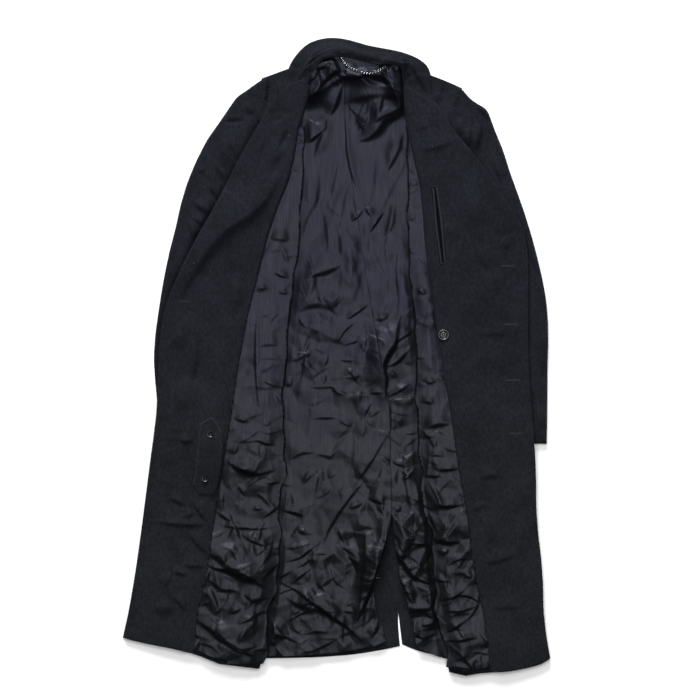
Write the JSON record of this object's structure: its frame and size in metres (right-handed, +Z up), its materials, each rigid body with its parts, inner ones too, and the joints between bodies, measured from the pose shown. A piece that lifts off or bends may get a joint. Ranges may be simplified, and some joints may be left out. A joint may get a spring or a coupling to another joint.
{
  "type": "overcoat",
  "caption": "Long wool overcoat lying open on its back, fronts turned out over the sleeves to show the satin lining, facings, collar, hanger chain and throat tab.",
  "frame": {"origin": "on the floor under the middle of the coat's bounding box", "axes": "+X to the right as seen from above, +Y towards the collar, +Z up from the floor"},
  "size_m": [0.7985, 1.1913, 0.0392],
  "materials": {
    "navy_wool": "felted twill wool with a short nap",
    "grey_satin": "creased satin lining with a soft sheen",
    "black_button": "polished",
    "chain_steel": "polished curb chain"
  },
  "bodies": {
    "root": {"back_left": "navy_wool", "back_right": "navy_wool", "back_lining_left": "grey_satin", "back_lining_right": "grey_satin", "front_left": "navy_wool", "front_right": "navy_wool", "front_lining_left": "grey_satin", "front_lining_right": "grey_satin", "facing_left": "navy_wool", "facing_right": "navy_wool", "under_sleeve_left": "navy_wool", "under_sleeve_right": "navy_wool", "top_sleeve_left": "navy_wool", "top_sleeve_right": "navy_wool", "collar": "navy_wool", "pocket_jet_inner": "navy_wool", "pocket_jet_outer": "navy_wool", "throat_tab": "navy_wool", "tab_button_upper": "black_button", "tab_button_lower": "black_button", "inside_button": "black_button", "vent_button": "black_button", "hanger_chain": "chain_steel", "chain_tab_left": "grey_satin", "chain_tab_right": "grey_satin"}
  },
  "joints": []
}
